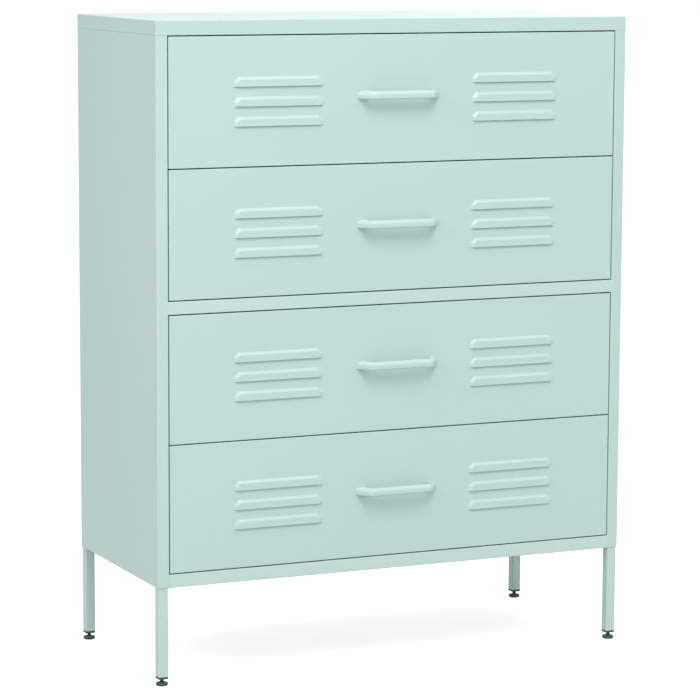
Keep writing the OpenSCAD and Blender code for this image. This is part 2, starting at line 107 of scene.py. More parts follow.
RUNNER_SPACE = 0.0133       # side space that a pair of runner rails takes
RAIL_T = 0.001              # thickness of the runner rails
RAIL_BEND = 0.0016          # outside radius of their folds
RAIL_CLEAR = 0.001          # space between moving rails beside each other
UPPER_FLANGE = 0.0083       # width of a cabinet rail's upper flange
DRAWER_FLANGE = 0.0105      # reach of a drawer rail's flange from the tray's side
DRAWER_FLANGE_RISE = 0.0176 # height of that flange above the rail's foot
RAIL_FOOT = 0.014           # width of the drawer rail's foot under the tray
LUG_H = 0.005               # height of the lug that stops the roller
LUG_REACH = 0.2579          # from the roller's axis, with the drawer in, to the lug's back
GROOVE_IN = 0.0047          # inner radius of the groove in a roller's faces
GROOVE_RIM = 0.0014         # from the groove to the tread
GROOVE_D = 0.0007           # depth of the groove
TREAD_ROUND = 0.0004        # radius at a tread's edges
BORE_R = 0.00258            # bore of a roller
PIN_R = 0.0025              # shaft of a pin
PIN_HEAD = 0.001            # height of a pin's head

LEG_ROUND = 0.002           # radius of a leg's corners
LEG_WALL = 0.0012
LEG_NICK = 0.0003           # chamfer at a leg's ends
PLUG_FLANGE = 0.0035        # height of a plug's flange
PLUG_PLAY = 0.00005         # play between a plug and its leg
PLUG_ROUND = 0.0012         # how far the flange's lower edge is rounded in
PLUG_CHAMFER = 0.0005       # chamfer of the stud's hole
PLUG_LEAD = 0.001           # length of the taper at a plug's upper end
PLUG_TAPER = 0.0006         # how far that taper draws in
PAD_R = 0.0095
PAD_H = 0.005
PAD_STEP = 0.0012           # width of the step round a pad's flat faces
PAD_DISH = 0.0004           # hollow of a pad's underside
HUB_R = 0.0038              # hub round the stud on a pad's upper side
AXIS_R = 0.0001             # where a pad's flat faces close round its axis
STUD_R = 0.003
STUD_PLAY = 0.00006
STUD_PITCH = 0.001

SCREW_R = 0.00195
HEAD_R = 0.0036
HEAD_H = 0.002
SCREW_PITCH = 0.0007
BOLT_R = 0.003
BOLT_HEAD_R = 0.0052
BOLT_HEAD_H = 0.0035
BOLT_PITCH = 0.001
THREAD_DEPTH = 0.45         # depth of a thread as a share of its pitch
HEAD_TURN = 37              # degrees from one screw's recess to the next one's

CAMERA_PLACE = (-1.995, -4.3665, 1.158)
CAMERA_YAW, CAMERA_PITCH, CAMERA_ROLL = radians(-24.49), radians(-8.06), radians(0.27)
CAMERA_LENS = 154.65        # millimetres, as Blender wants it
CAMERA_SENSOR = 36
FLOOR_SIZE = 60
FLOOR_TONE = (0.53, 0.57)   # darkest and lightest shade of the floor
FLOOR_LIFT = 0.68           # glow that takes the floor to white where the camera sees it
# name, place, aim, width and height, watts
LAMPS = [
    ("softbox", (-0.4, -2.6, 3.5), (0, 0, 0.6), (1.8, 1.8), 55),
    ("side softbox", (-2.4, -0.8, 1.9), (-0.4, 0, 0.7), (1.2, 1.2), 15),
    ("rear softbox", (0.95, 0.45, 1.75), (0.3, 0, 1.0), (0.8, 0.8), 5),
]

DRAWERS = [1, 2, 3, 4]
SAME_PLANE = 1e-6           # how far from a plane a face still counts as in it


# ---- planes, from the frame ----

cap_low, cap_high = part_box("top_panel")
side_low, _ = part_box("side_panel_right")
rail_low, rail_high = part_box("middle_rail")
_, back_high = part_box("back_panel")
SIDE = cap_high.x
FRONT = cap_low.y
BACK = cap_high.y
CAP_Z = cap_low.z
TOP_Z = cap_high.z
BASE_Z = side_low.z
OPENING = rail_high.x
TRAY_SIDE = OPENING - RUNNER_SPACE
TRACK_X = TRAY_SIDE + RAIL_T + RAIL_CLEAR
SEAT_Y = back_high.y - SHEET
FLOOR_Z = BASE_Z + 2 * SHEET


# ---- mesh helpers ----

def link(name, mesh):
    obj = bpy.data.objects.new(name, mesh)
    bpy.context.scene.collection.objects.link(obj)
    return obj


def to_mesh(name, bm):
    """A mesh from the bmesh, which is freed."""
    mesh = bpy.data.meshes.new(name)
    bm.to_mesh(mesh)
    bm.free()
    return mesh


def bake(obj):
    """Replaces the object's mesh by the one that its modifiers make."""
    bpy.context.view_layer.update()
    graph = bpy.context.evaluated_depsgraph_get()
    mesh = bpy.data.meshes.new_from_object(obj.evaluated_get(graph), depsgraph=graph)
    mesh.name = obj.name
    obj.modifiers.clear()
    obj.data = mesh
    return obj


def smooth(obj, angle=32):
    """Smooth shading that breaks at edges sharper than the angle and keeps flat faces flat."""
    obj.data.shade_smooth()
    obj.data.set_sharp_from_angle(angle=radians(angle))
    weighted = obj.modifiers.new("flat faces", "WEIGHTED_NORMAL")
    weighted.keep_sharp = True
    return obj


def finish_piece(obj, material, body, *nodes):
    """Gives a piece its material, its CAD body and the nodes it stands for."""
    obj.data.materials.clear()
    obj.data.materials.append(material)
    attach(obj, body)
    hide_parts(*nodes)
    return obj


class Skin:
    """The outer skin of a bent sheet: flat faces that share an edge where the sheet is folded."""

    def __init__(self):
        self.faces = []

    def face(self, points, outward):
        """A flat polygon whose normal points the way of outward."""
        points = [Vector(p) for p in points]
        normal = Vector((0, 0, 0))
        for a, b in zip(points, points[1:] + points[:1]):
            normal += a.cross(b)
        if normal.dot(Vector(outward)) < 0:
            points.reverse()
        self.faces.append(points)

    def grid(self, axis, at, across, up, outward):
        """Rectangles in the plane axis = at, between the listed places along the other two axes."""
        others = [k for k in range(3) if k != axis]
        normal = [0, 0, 0]
        normal[axis] = outward
        for a0, a1 in zip(across, across[1:]):
            for b0, b1 in zip(up, up[1:]):
                corners = []
                for a, b in ((a0, b0), (a1, b0), (a1, b1), (a0, b1)):
                    p = [0, 0, 0]
                    p[axis], p[others[0]], p[others[1]] = at, a, b
                    corners.append(p)
                self.face(corners, normal)

    def bmesh(self):
        """The faces joined at their corners, with a vertex wherever a corner lies on another face's edge."""
        known = {}
        corners = []
        for face in self.faces:
            for p in face:
                key = tuple(round(c * 1e5) for c in p)
                if key not in known:
                    known[key] = len(corners)
                    corners.append(p)
        bm = bmesh.new()
        verts = [bm.verts.new(p) for p in corners]
        for face in self.faces:
            ring = []
            for a, b in zip(face, face[1:] + face[:1]):
                ring.append(known[tuple(round(c * 1e5) for c in a)])
                along = b - a
                between = []
                for k, p in enumerate(corners):
                    t = (p - a).dot(along) / along.length_squared
                    on_edge = (p - a - along * t).length < 1e-5
                    if on_edge and 1e-5 < t * along.length < along.length - 1e-5:
                        between.append((t, k))
                ring += [k for t, k in sorted(between)]
            bm.faces.new([verts[k] for k in ring])
        bm.normal_update()
        return bm


def rounded_box(bm, low, high, radius=0.0003):
    """Adds a plate or block with rounded edges to the bmesh."""
    made = bmesh.ops.create_cube(bm, size=1)["verts"]
    for v in made:
        v.co = Vector(low[k] if v.co[k] < 0 else high[k] for k in range(3))
    edges = list({e for v in made for e in v.link_edges})
    bmesh.ops.bevel(bm, geom=edges, offset=radius, segments=2, affect="EDGES", clamp_overlap=True)


def sorted_box(a, b):
    """The two corners put in order, so that a mirrored box stays a box."""
    return [min(p, q) for p, q in zip(a, b)], [max(p, q) for p, q in zip(a, b)]


def bent_sheet(name, bm, thickness=SHEET, bend=BEND, fold_angle=50, plates=()):
    """A sheet of even thickness inside the skin, with a rounded bend at each fold, and welded plates."""
    weight = bm.edges.layers.float.new("bevel_weight_edge")
    for edge in bm.edges:
        if len(edge.link_faces) == 2 and edge.calc_face_angle() > radians(fold_angle):
            edge[weight] = 1
    obj = link(name, to_mesh(name, bm))
    bends = obj.modifiers.new("bends", "BEVEL")
    bends.limit_method = "WEIGHT"
    bends.width = bend
    bends.segments = 5
    bends.use_clamp_overlap = True
    wall = obj.modifiers.new("wall", "SOLIDIFY")
    wall.thickness = thickness
    wall.offset = -1
    wall.use_even_offset = True
    wall.use_quality_normals = True
    bake(obj)
    if plates:
        bm = bmesh.new()
        bm.from_mesh(obj.data)
        for low, high in plates:
            rounded_box(bm, low, high)
        bm.to_mesh(obj.data)
        bm.free()
    return smooth(obj)


def loft(bm, rings, wrap=False):
    """Bridges rings of points that have the same count. wrap joins the last to the first, with no caps."""
    rows = [[bm.verts.new(p) for p in ring] for ring in rings]
    count = len(rows[0])
    following = rows[1:] + rows[:1] if wrap else rows[1:]
    for low, high in zip(rows, following):
        for k in range(count):
            n = (k + 1) % count
            bm.faces.new((low[k], low[n], high[n], high[k]))
    if not wrap:
        bm.faces.new(rows[0][::-1])
        bm.faces.new(rows[-1])


def lathe(bm, profile, place=Matrix.Identity(4), turns=48, wrap=False):
    """Turns a profile of (radius, height) points round the place's Z axis. wrap makes it a ring."""
    rings = []
    for r, h in profile:
        rings.append([place @ Vector((r * cos(2 * pi * k / turns), r * sin(2 * pi * k / turns), h))
                      for k in range(turns)])
    loft(bm, rings, wrap)


def arc(centre, radius, start, stop, steps):
    """Points (x, y) along an arc, angles in degrees."""
    return [(centre[0] + radius * cos(radians(start + (stop - start) * k / steps)),
             centre[1] + radius * sin(radians(start + (stop - start) * k / steps)))
            for k in range(steps + 1)]


def mesh_object(name, bm, angle=32):
    """An object from a closed bmesh, with its faces turned outwards."""
    bmesh.ops.remove_doubles(bm, verts=bm.verts, dist=1e-7)
    bmesh.ops.recalc_face_normals(bm, faces=bm.faces)
    return smooth(link(name, to_mesh(name, bm)), angle)


def bare_object(name, bm, angle=32):
    """The same without modifiers, to cut or to cut with."""
    obj = mesh_object(name, bm, angle)
    obj.modifiers.clear()
    return obj


def carve(obj, cutters):
    """Takes the cutters' shapes out of the object and deletes them."""
    for cutter in cutters:
        hole = obj.modifiers.new("hole", "BOOLEAN")
        hole.object = cutter
        hole.operation = "DIFFERENCE"
        hole.solver = "EXACT"
    bake(obj)
    for cutter in cutters:
        bpy.data.objects.remove(cutter)


def islands(node):
    """(lowest corner, highest corner) of each separate solid in a CAD node."""
    mesh = frame["nodes"][node].data
    bm = bmesh.new()
    bm.from_mesh(mesh)
    bmesh.ops.remove_doubles(bm, verts=bm.verts, dist=1e-6)
    seen = set()
    boxes = []
    for start in bm.verts:
        if start in seen:
            continue
        stack = [start]
        seen.add(start)
        group = []
        while stack:
            v = stack.pop()
            group.append(v.co.copy())
            for e in v.link_edges:
                other = e.other_vert(v)
                if other not in seen:
                    seen.add(other)
                    stack.append(other)
        low = Vector(min(p[k] for p in group) for k in range(3))
        high = Vector(max(p[k] for p in group) for k in range(3))
        boxes.append((low, high, group))
    bm.free()
    return sorted(boxes, key=lambda b: tuple(round(c, 4) for c in b[0]))


# ---- materials ----

class Nodes:
    """Short names for building a node material."""

    def __init__(self, name, slot):
        self.material = bpy.data.materials.new(name)
        self.material.use_nodes = True
        self.material["slot"] = slot
        self.tree = self.material.node_tree
        self.shader = self.tree.nodes["Principled BSDF"]
        self.place = self.tree.nodes.new("ShaderNodeTexCoord").outputs["Object"]

    def add(self, kind, **values):
        node = self.tree.nodes.new(kind)
        for key, value in values.items():
            setattr(node, key, value)
        return node

    def join(self, out, into):
        self.tree.links.new(out, into)

    def noise(self, scale, detail=2, roughness=0.5, stretch=None):
        """Noise with so many features per metre. stretch scales the object's axes first."""
        node = self.add("ShaderNodeTexNoise")
        node.inputs["Scale"].default_value = scale
        node.inputs["Detail"].default_value = detail
        node.inputs["Roughness"].default_value = roughness
        if stretch:
            mapping = self.add("ShaderNodeMapping")
            mapping.inputs["Scale"].default_value = stretch
            self.join(self.place, mapping.inputs["Vector"])
            self.join(mapping.outputs["Vector"], node.inputs["Vector"])
        else:
            self.join(self.place, node.inputs["Vector"])
        return node.outputs["Fac"]

    def spread(self, source, low, high, start=0.3, stop=0.7):
        """Maps start..stop of a value to low..high."""
        node = self.add("ShaderNodeMapRange")
        node.inputs["From Min"].default_value = start
        node.inputs["From Max"].default_value = stop
        node.inputs["To Min"].default_value = low
        node.inputs["To Max"].default_value = high
        self.join(source, node.inputs["Value"])
        return node.outputs["Result"]

    def mix(self, factor, first, second):
        """A colour between two colours or colour outputs."""
        node = self.add("ShaderNodeMix", data_type="RGBA")
        if isinstance(factor, float):
            node.inputs["Factor"].default_value = factor
        else:
            self.join(factor, node.inputs["Factor"])
        for key, value in (("A", first), ("B", second)):
            socket = [s for s in node.inputs if s.name == key and s.type == "RGBA"][0]
            if isinstance(value, tuple):
                socket.default_value = value
            else:
                self.join(value, socket)
        return [s for s in node.outputs if s.type == "RGBA"][0]

    def bump(self, height, distance, strength=1.0, below=None):
        node = self.add("ShaderNodeBump")
        node.inputs["Strength"].default_value = strength
        node.inputs["Distance"].default_value = distance
        self.join(height, node.inputs["Height"])
        if below:
            self.join(below, node.inputs["Normal"])
        return node.outputs["Normal"]

    def wire(self, colour, roughness, normal):
        self.join(colour, self.shader.inputs["Base Color"])
        self.join(roughness, self.shader.inputs["Roughness"])
        self.join(normal, self.shader.inputs["Normal"])

    def constant(self, **values):
        """Values that are the same all over, set on the shader's own sockets."""
        for key, value in values.items():
            self.shader.inputs[key.replace("_", " ")].default_value = value


def linear(red, green, blue):
    """A colour given as 0 to 255 screen values, as the shader's linear colour."""
    def channel(c):
        c /= 255
        return c / 12.92 if c <= 0.04045 else ((c + 0.055) / 1.055) ** 2.4
    return (channel(red), channel(green), channel(blue), 1)


def mint_paint():
    """Satin powder coat: a fine orange peel, faint drifts of tone and gloss, and a painted highlight along
    convex edges.
    """
    n = Nodes("mint paint", "mint_paint")
    drift = n.spread(n.noise(2.3, 3), 0, 1)
    body = n.mix(drift, linear(192, 220, 214), linear(196, 222, 217))
    speckle = n.spread(n.noise(1900, 2), 0, 0.16, 0.35, 0.75)
    body = n.mix(speckle, body, linear(206, 227, 223))
    # painted highlight: convex edges, found by pointiness, are mixed towards a paler mint that stands in for
    # light caught on the rounded bends
    point = n.add("ShaderNodeNewGeometry").outputs["Pointiness"]
    edge = n.spread(point, 0, 0.30, 0.54, 0.64)
    body = n.mix(edge, body, linear(216, 232, 229))
    gloss = n.spread(n.noise(38, 4, 0.6), 0.31, 0.40)
    peel = n.bump(n.noise(520, 2, 0.55), 0.00006)
    grain = n.bump(n.noise(2600, 3, 0.6), 0.000012, 1.0, peel)
    n.wire(body, gloss, grain)
    n.constant(IOR=1.5, Specular_IOR_Level=0.5, Coat_Weight=0.2, Coat_Roughness=0.25)
    return n.material


def zinc_steel():
    """Zinc-plated steel: metal with rolled streaks along Y, dull patches and a faint blue-yellow cast."""
    n = Nodes("zinc steel", "zinc_steel")
    cast = n.spread(n.noise(26, 3), 0, 1)
    body = n.mix(cast, linear(196, 199, 203), linear(206, 204, 196))
    streak = n.noise(240, 4, 0.6, stretch=(1, 0.08, 1))
    body = n.mix(n.spread(streak, 0, 0.35), body, linear(172, 175, 180))
    dull = n.spread(n.noise(70, 4, 0.6), 0.28, 0.46)
    line = n.bump(streak, 0.00002)
    grain = n.bump(n.noise(1800, 2), 0.00001, 1.0, line)
    n.wire(body, dull, grain)
    n.constant(Metallic=1.0, Anisotropic=0.25)
    return n.material


def nylon():
    """Natural nylon: a milky off-white with a soft, slightly worn sheen."""
    n = Nodes("nylon", "nylon")
    cloud = n.spread(n.noise(120, 3), 0, 1)
    body = n.mix(cloud, linear(232, 230, 221), linear(222, 219, 207))
    sheen = n.spread(n.noise(300, 3), 0.38, 0.52)
    grain = n.bump(n.noise(1500, 3, 0.6), 0.00002)
    n.wire(body, sheen, grain)
    n.constant(Subsurface_Weight=0.12, Subsurface_Scale=0.002, IOR=1.53)
    return n.material


def dark_plastic():
    """Moulded plastic of the plugs and feet: a dark green grey with a fine spark-eroded grain."""
    n = Nodes("dark plastic", "black_plastic")
    tone = n.spread(n.noise(60, 3), 0, 1)
    body = n.mix(tone, linear(58, 84, 79), linear(66, 92, 87))
    scuff = n.spread(n.noise(700, 3, 0.7), 0, 0.25, 0.55, 0.8)
    body = n.mix(scuff, body, linear(96, 116, 112))
    rough = n.spread(n.noise(220, 3), 0.48, 0.64)
    grain = n.bump(n.noise(2400, 3, 0.6), 0.00003)
    n.wire(body, rough, grain)
    n.constant(IOR=1.5, Specular_IOR_Level=0.5)
    return n.material


PAINT = mint_paint()
ZINC = zinc_steel()
NYLON = nylon()
PLASTIC = dark_plastic()


# ---- body ----

def frame_ring(skin, low, high, inset, z, outward):
    """A flat ring of four mitred faces between a rectangle and the one inside it."""
    outer = [(low.x, low.y), (high.x, low.y), (high.x, high.y), (low.x, high.y)]
    inner = [(low.x + inset, low.y + inset), (high.x - inset, low.y + inset),
             (high.x - inset, high.y - inset), (low.x + inset, high.y - inset)]
    for k in range(4):
        n = (k + 1) % 4
        skin.face([(*outer[k], z), (*outer[n], z), (*inner[n], z), (*inner[k], z)], (0, 0, outward))


def top_panel():
    skin = Skin()
    skin.grid(2, TOP_Z, [-SIDE, SIDE], [FRONT, BACK], 1)
    for sign in (-1, 1):
        skin.grid(0, sign * SIDE, [FRONT, BACK], [CAP_Z, TOP_Z], sign)
    skin.grid(1, FRONT, [-SIDE, SIDE], [CAP_Z, TOP_Z], -1)
    skin.grid(1, BACK, [-SIDE, SIDE], [CAP_Z, TOP_Z], 1)
    frame_ring(skin, cap_low, cap_high, CAP_FLANGE, CAP_Z, -1)
    finish_piece(bent_sheet("top_panel_skin", skin.bmesh()), PAINT, "cabinet", "top_panel")


def side_panel(sign, node):
    """Skin, front post with its return, and the hem and flange at the rear. sign is +1 on the right."""
    skin = Skin()
    heights = [BASE_Z, FLOOR_Z, CAP_Z]
    hem = 2 * SHEET
    hem_y = BACK - SHEET
    cut_x = SIDE - CAP_FLANGE

    def xs(*places):
        return sorted(sign * x for x in places)

    skin.grid(0, sign * SIDE, [FRONT, SEAT_Y, hem_y], heights, sign)
    skin.grid(1, FRONT, xs(OPENING, cut_x, SIDE), heights, -1)
    skin.grid(0, sign * OPENING, [FRONT, FRONT + POST_RETURN], [FLOOR_Z, CAP_Z], -sign)
    skin.grid(2, CAP_Z, xs(cut_x, SIDE), [FRONT, SEAT_Y], 1)
    skin.grid(2, BASE_Z, xs(OPENING, SIDE), [FRONT, SEAT_Y], -1)
    # the hem turns in half a circle at the back edge
    turn = arc((SIDE - SHEET, hem_y), SHEET, 0, 180, 8)
    for (xa, ya), (xb, yb) in zip(turn, turn[1:]):
        skin.face([(sign * xa, ya, FLOOR_Z), (sign * xb, yb, FLOOR_Z),
                   (sign * xb, yb, CAP_Z), (sign * xa, ya, CAP_Z)],
                  (sign * (xa + xb - 2 * SIDE + 2 * SHEET), ya + yb - 2 * hem_y, 0))
    skin.grid(0, sign * (SIDE - hem), [SEAT_Y, hem_y], [FLOOR_Z, CAP_Z], -sign)
    skin.grid(1, SEAT_Y, xs(SIDE - REAR_FLANGE, SIDE - hem), [FLOOR_Z, CAP_Z], 1)
    finish_piece(bent_sheet(node + "_skin", skin.bmesh()), PAINT, "cabinet", node)


def back_panel():
    skin = Skin()
    edge = back_high.x
    fold_x = SIDE - REAR_FLANGE - FLANGE_GAP
    skin.grid(1, SEAT_Y + SHEET, [-edge, -fold_x, fold_x, edge], [FLOOR_Z, CAP_Z], 1)
    skin.grid(2, CAP_Z, [-fold_x, fold_x], [SEAT_Y - BACK_FOLD, SEAT_Y + SHEET], 1)
    finish_piece(bent_sheet("back_panel_skin", skin.bmesh()), PAINT, "cabinet", "back_panel")


def bottom_panel():
    """Floor plate with the lower front rail, whose fold steps up to the plate, and the rear edge."""
    skin = Skin()
    plate = BASE_Z + SHEET
    low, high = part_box("bottom_panel")
    rail_top = BASE_Z + BOTTOM_RAIL
    fold_y = FRONT + RAIL_FOLD
    step_y = fold_y + JOGGLE
    rear_x = SIDE - REAR_FLANGE - FLANGE_GAP
    end = OPENING + RAIL_LAP
    skin.grid(1, FRONT, [-end, end], [BASE_Z, rail_top], -1)
    skin.grid(2, rail_top, [-end, end], [FRONT, fold_y], 1)
    skin.grid(2, BASE_Z, [-end, end], [FRONT, fold_y], -1)
    skin.face([(-end, fold_y, BASE_Z), (end, fold_y, BASE_Z), (end, step_y, plate), (-end, step_y, plate)],
              (0, 0, -1))
    skin.grid(2, plate, [low.x, -rear_x, rear_x, high.x], [step_y, SEAT_Y - 2 * SHEET], -1)
    skin.grid(2, plate, [-rear_x, rear_x], [SEAT_Y - 2 * SHEET, SEAT_Y], -1)
    skin.grid(1, SEAT_Y, [-rear_x, rear_x], [plate, FLOOR_Z + BACK_FOLD], 1)
    finish_piece(bent_sheet("bottom_panel_skin", skin.bmesh()), PAINT, "cabinet", "bottom_panel")


def middle_rail():
    skin = Skin()
    end = OPENING + RAIL_LAP
    skin.grid(1, FRONT, [-end, end], [rail_low.z, rail_high.z], -1)
    for z, outward in ((rail_low.z, -1), (rail_high.z, 1)):
        skin.grid(2, z, [-end, end], [FRONT, FRONT + RAIL_FOLD], outward)
    finish_piece(bent_sheet("middle_rail_skin", skin.bmesh()), PAINT, "cabinet", "middle_rail")


# ---- drawer fronts ----

def louvre_outline(w, h, cut, steps=4):
    """The outline from the lower left end round the top to the lower right end, corners rounded."""
    left = [(-w / 2, 0), (-w / 2, h - cut), (-w / 2 + cut, h)]
    corners = left + [(-x, z) for x, z in reversed(left)]
    points = [corners[0]]
    for before, corner, after in zip(corners, corners[1:], corners[2:]):
        a = Vector(before) - Vector(corner)
        b = Vector(after) - Vector(corner)
        reach = min(LOUVRE_ROUND, a.length * 0.45, b.length * 0.45)
        a, b = Vector(corner) + a.normalized() * reach, Vector(corner) + b.normalized() * reach
        for k in range(steps + 1):
            t = k / steps
            p = a * (1 - t) ** 2 + 2 * t * (1 - t) * Vector(corner) + b * t * t
            points.append((p.x, p.y))
    points.append(corners[-1])
    return points


def louvre_ring(t):
    """The louvre's outline at share t of the slope, from 0 on the sheet to 1 on the crest."""
    return louvre_outline(LOUVRE_W - 2 * LOUVRE_END * t, LOUVRE_H - LOUVRE_BAND * t,
                          LOUVRE_CUT + (LOUVRE_CUT_CREST - LOUVRE_CUT) * t)


def louvre_rise(t):
    """Share of the full height at share t of the slope: a straight flank between two small fillets."""
    fillet = LOUVRE_FILLET
    if t < fillet:
        return t * t / (2 * fillet * (1 - fillet))
    if t > 1 - fillet:
        return 1 - (1 - t) ** 2 / (2 * fillet * (1 - fillet))
    return (t - fillet / 2) / (1 - fillet)


def louvre_places(low, high):
    """Middle of each louvre's open edge on a drawer front between two heights."""
    middle = (low + high) / 2
    for x in (-LOUVRE_X, LOUVRE_X):
        for k in range(LOUVRE_COUNT):
            yield x, middle - LOUVRE_H / 2 + (k - (LOUVRE_COUNT - 1) / 2) * LOUVRE_PITCH


def drawer_front(i):
    node = f"drawer_front_{i}"
    low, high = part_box(node)
    depth = FRONT - low.y
    bm = bmesh.new()

    # the face: a frame of four flat faces, and inside it triangles round the louvres' outlines
    outer = [(low.x, low.z), (high.x, low.z), (high.x, high.z), (low.x, high.z)]
    left, right = low.x + FACE_MARGIN, high.x - FACE_MARGIN
    under, over = low.z + FACE_MARGIN, high.z - FACE_MARGIN
    inner = [(left, under), (right, under), (right, over), (left, over)]
    points = [Vector(p) for p in inner]
    edges = [(k, (k + 1) % 4) for k in range(4)]
    base = louvre_ring(0)
    places = list(louvre_places(low.z, high.z))
    for cx, cz in places:
        first = len(points)
        points += [Vector((cx + u, cz + v)) for u, v in base]
        count = len(base)
        edges += [(first + k, first + (k + 1) % count) for k in range(count)]
    flat, _, triangles, _, _, _ = delaunay_2d_cdt(points, edges, [], 0, 1e-7)
    verts = {}

    def vert(x, y, z):
        key = (round(x * 1e6), round(y * 1e6), round(z * 1e6))
        if key not in verts:
            verts[key] = bm.verts.new((x, y, z))
        return verts[key]

    def in_louvre(p):
        for cx, cz in places:
            u, v = abs(p.x - cx), p.y - cz
            if 0 < v < LOUVRE_H and u < LOUVRE_W / 2 and u + v < LOUVRE_W / 2 + LOUVRE_H - LOUVRE_CUT:
                return True
        return False

    for triangle in triangles:
        corners = [flat[k] for k in triangle]
        if not in_louvre(sum(corners, Vector((0, 0))) / 3):
            bm.faces.new([vert(p.x, FRONT, p.y) for p in corners])
    for k in range(4):
        n = (k + 1) % 4
        bm.faces.new([vert(p[0], FRONT, p[1]) for p in (outer[k], outer[n], inner[n], inner[k])])
    # the louvres: rings that climb from the outline to the crest, open at the lower edge
    for cx, cz in places:
        rows = []
        for t in LOUVRE_LEVELS:
            y = FRONT - depth * louvre_rise(t)
            rows.append([vert(cx + u, y, cz + v) for u, v in louvre_ring(t)])
        for a, b in zip(rows, rows[1:]):
            for k in range(len(a) - 1):
                ring = list(dict.fromkeys((a[k], a[k + 1], b[k + 1], b[k])))
                if len(ring) > 2:
                    bm.faces.new(ring)
        bm.faces.new(rows[-1])
    # the turned edges, and those turned in behind the ends for the tray's screws
    fold_y = FRONT + FRONT_FOLD
    for k in range(4):
        n = (k + 1) % 4
        a, b = outer[k], outer[n]
        bm.faces.new([vert(a[0], FRONT, a[1]), vert(b[0], FRONT, b[1]),
                      vert(b[0], fold_y, b[1]), vert(a[0], fold_y, a[1])])
    for sign in (-1, 1):
        x0, x1 = sign * high.x, sign * (TRAY_SIDE + LIP_GAP)
        x2 = x0 - sign * LIP_NOTCH
        z0, z1 = low.z + LIP_NOTCH, high.z - LIP_NOTCH
        a = vert(x0, fold_y, low.z)
        b = vert(x0, fold_y, high.z)
        c = bm.verts.new((x1, fold_y, z1))
        d = bm.verts.new((x1, fold_y, z0))
        e = bm.verts.new((x2, fold_y, z1))
        f = bm.verts.new((x2, fold_y, z0))
        bm.faces.new((a, b, e, f))
        bm.faces.new((f, e, c, d))
    bmesh.ops.recalc_face_normals(bm, faces=bm.faces)
    bm.normal_update()
    flat_faces = (f for f in bm.faces if abs(f.calc_center_median().y - FRONT) < SAME_PLANE)
    sample = max(flat_faces, key=lambda f: f.calc_area())
    if sample.normal.y > 0:
        bmesh.ops.reverse_faces(bm, faces=bm.faces)
    obj = bent_sheet(node + "_skin", bm, SHEET, DRAWER_BEND, fold_angle=70)
    finish_piece(obj, PAINT, f"drawer_{i}", node)


# ---- trays and runners ----

def drawer_tray(i):
    """Floor, three walls and a mitred rim, with tabs turned out behind the front's edges."""
    node = f"drawer_tray_{i}"
    low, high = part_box(node)
    skin = Skin()
    a, b = low.y, high.y
    skin.grid(2, low.z, [-TRAY_SIDE, TRAY_SIDE], [a, b], -1)
    skin.grid(1, b, [-TRAY_SIDE, TRAY_SIDE], [low.z, high.z], 1)
    x, rim = TRAY_SIDE, TRAY_RIM
    for sign in (-1, 1):
        skin.grid(0, sign * x, [a, b], [low.z, high.z], sign)
        skin.face([(sign * x, a, high.z), (sign * x, b, high.z), (sign * (x - rim), b - rim, high.z),
                   (sign * (x - rim), a, high.z)], (0, 0, 1))
    skin.face([(-x, b, high.z), (x, b, high.z), (x - rim, b - rim, high.z), (rim - x, b - rim, high.z)],
              (0, 0, 1))
    fold_y = FRONT + FRONT_FOLD
    tabs = [sorted_box((sign * (x - SHEET / 2), fold_y, low.z + TAB_LOW),
                       (sign * high.x, fold_y + SHEET, high.z)) for sign in (-1, 1)]
    finish_piece(bent_sheet(node + "_skin", skin.bmesh(), plates=tabs), PAINT, f"drawer_{i}", node)


def cabinet_rails(i):
    """Channels whose lower flange is the track, each with a rear tab and a lug that stops the roller."""
    node = f"cabinet_rails_{i}"
    low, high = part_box(node)
    axis_y = sum(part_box(f"drawer_rollers_{i}"), Vector()).y / 2
    lug_back = axis_y - LUG_REACH
    end = high.y - RAIL_T / 2
    skin = Skin()
    plates = []
    for sign in (-1, 1):
        skin.grid(0, sign * OPENING, [low.y, end], [low.z, high.z], sign)
        skin.grid(2, low.z, sorted((sign * TRACK_X, sign * OPENING)), [low.y, end], -1)
        skin.grid(2, high.z, sorted((sign * (OPENING - UPPER_FLANGE), sign * OPENING)), [low.y, end], 1)
        plates.append(sorted_box((sign * TRACK_X, high.y - RAIL_T, low.z), (sign * high.x, high.y, high.z)))
        plates.append(sorted_box((sign * TRACK_X, lug_back - RAIL_T, low.z + RAIL_T / 2),
                                 (sign * (OPENING - RAIL_T / 2), lug_back, low.z + RAIL_T + LUG_H)))
    obj = bent_sheet(node + "_skin", skin.bmesh(), RAIL_T, RAIL_BEND, plates=plates)
    finish_piece(obj, ZINC, "cabinet", node)


def drawer_rails(i):
    """Angles under the tray's lower corners, with the flange that runs on the cabinet's rollers."""
    node = f"drawer_rails_{i}"
    low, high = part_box(node)
    web = TRAY_SIDE + RAIL_T
    flange = low.z + RAIL_T + DRAWER_FLANGE_RISE
    skin = Skin()
    plates = []
    for sign in (-1, 1):
        skin.grid(0, sign * web, [low.y, high.y], [low.z, high.z], sign)
        skin.grid(2, low.z, sorted((sign * (TRAY_SIDE - RAIL_FOOT), sign * web)), [low.y, high.y], -1)
        plates.append(sorted_box((sign * (web - RAIL_T / 2), low.y, flange),
                                 (sign * (TRAY_SIDE + DRAWER_FLANGE), high.y, flange + RAIL_T)))
    obj = bent_sheet(node + "_skin", skin.bmesh(), RAIL_T, RAIL_BEND, plates=plates)
    finish_piece(obj, ZINC, f"drawer_{i}", node)


def along_x(low, high):
    """The place of a turned part that lies along X in the box: its start on the low side."""
    middle = (low + high) / 2
    return Matrix.Translation((low.x, middle.y, middle.z)) @ Matrix.Rotation(pi / 2, 4, "Y")


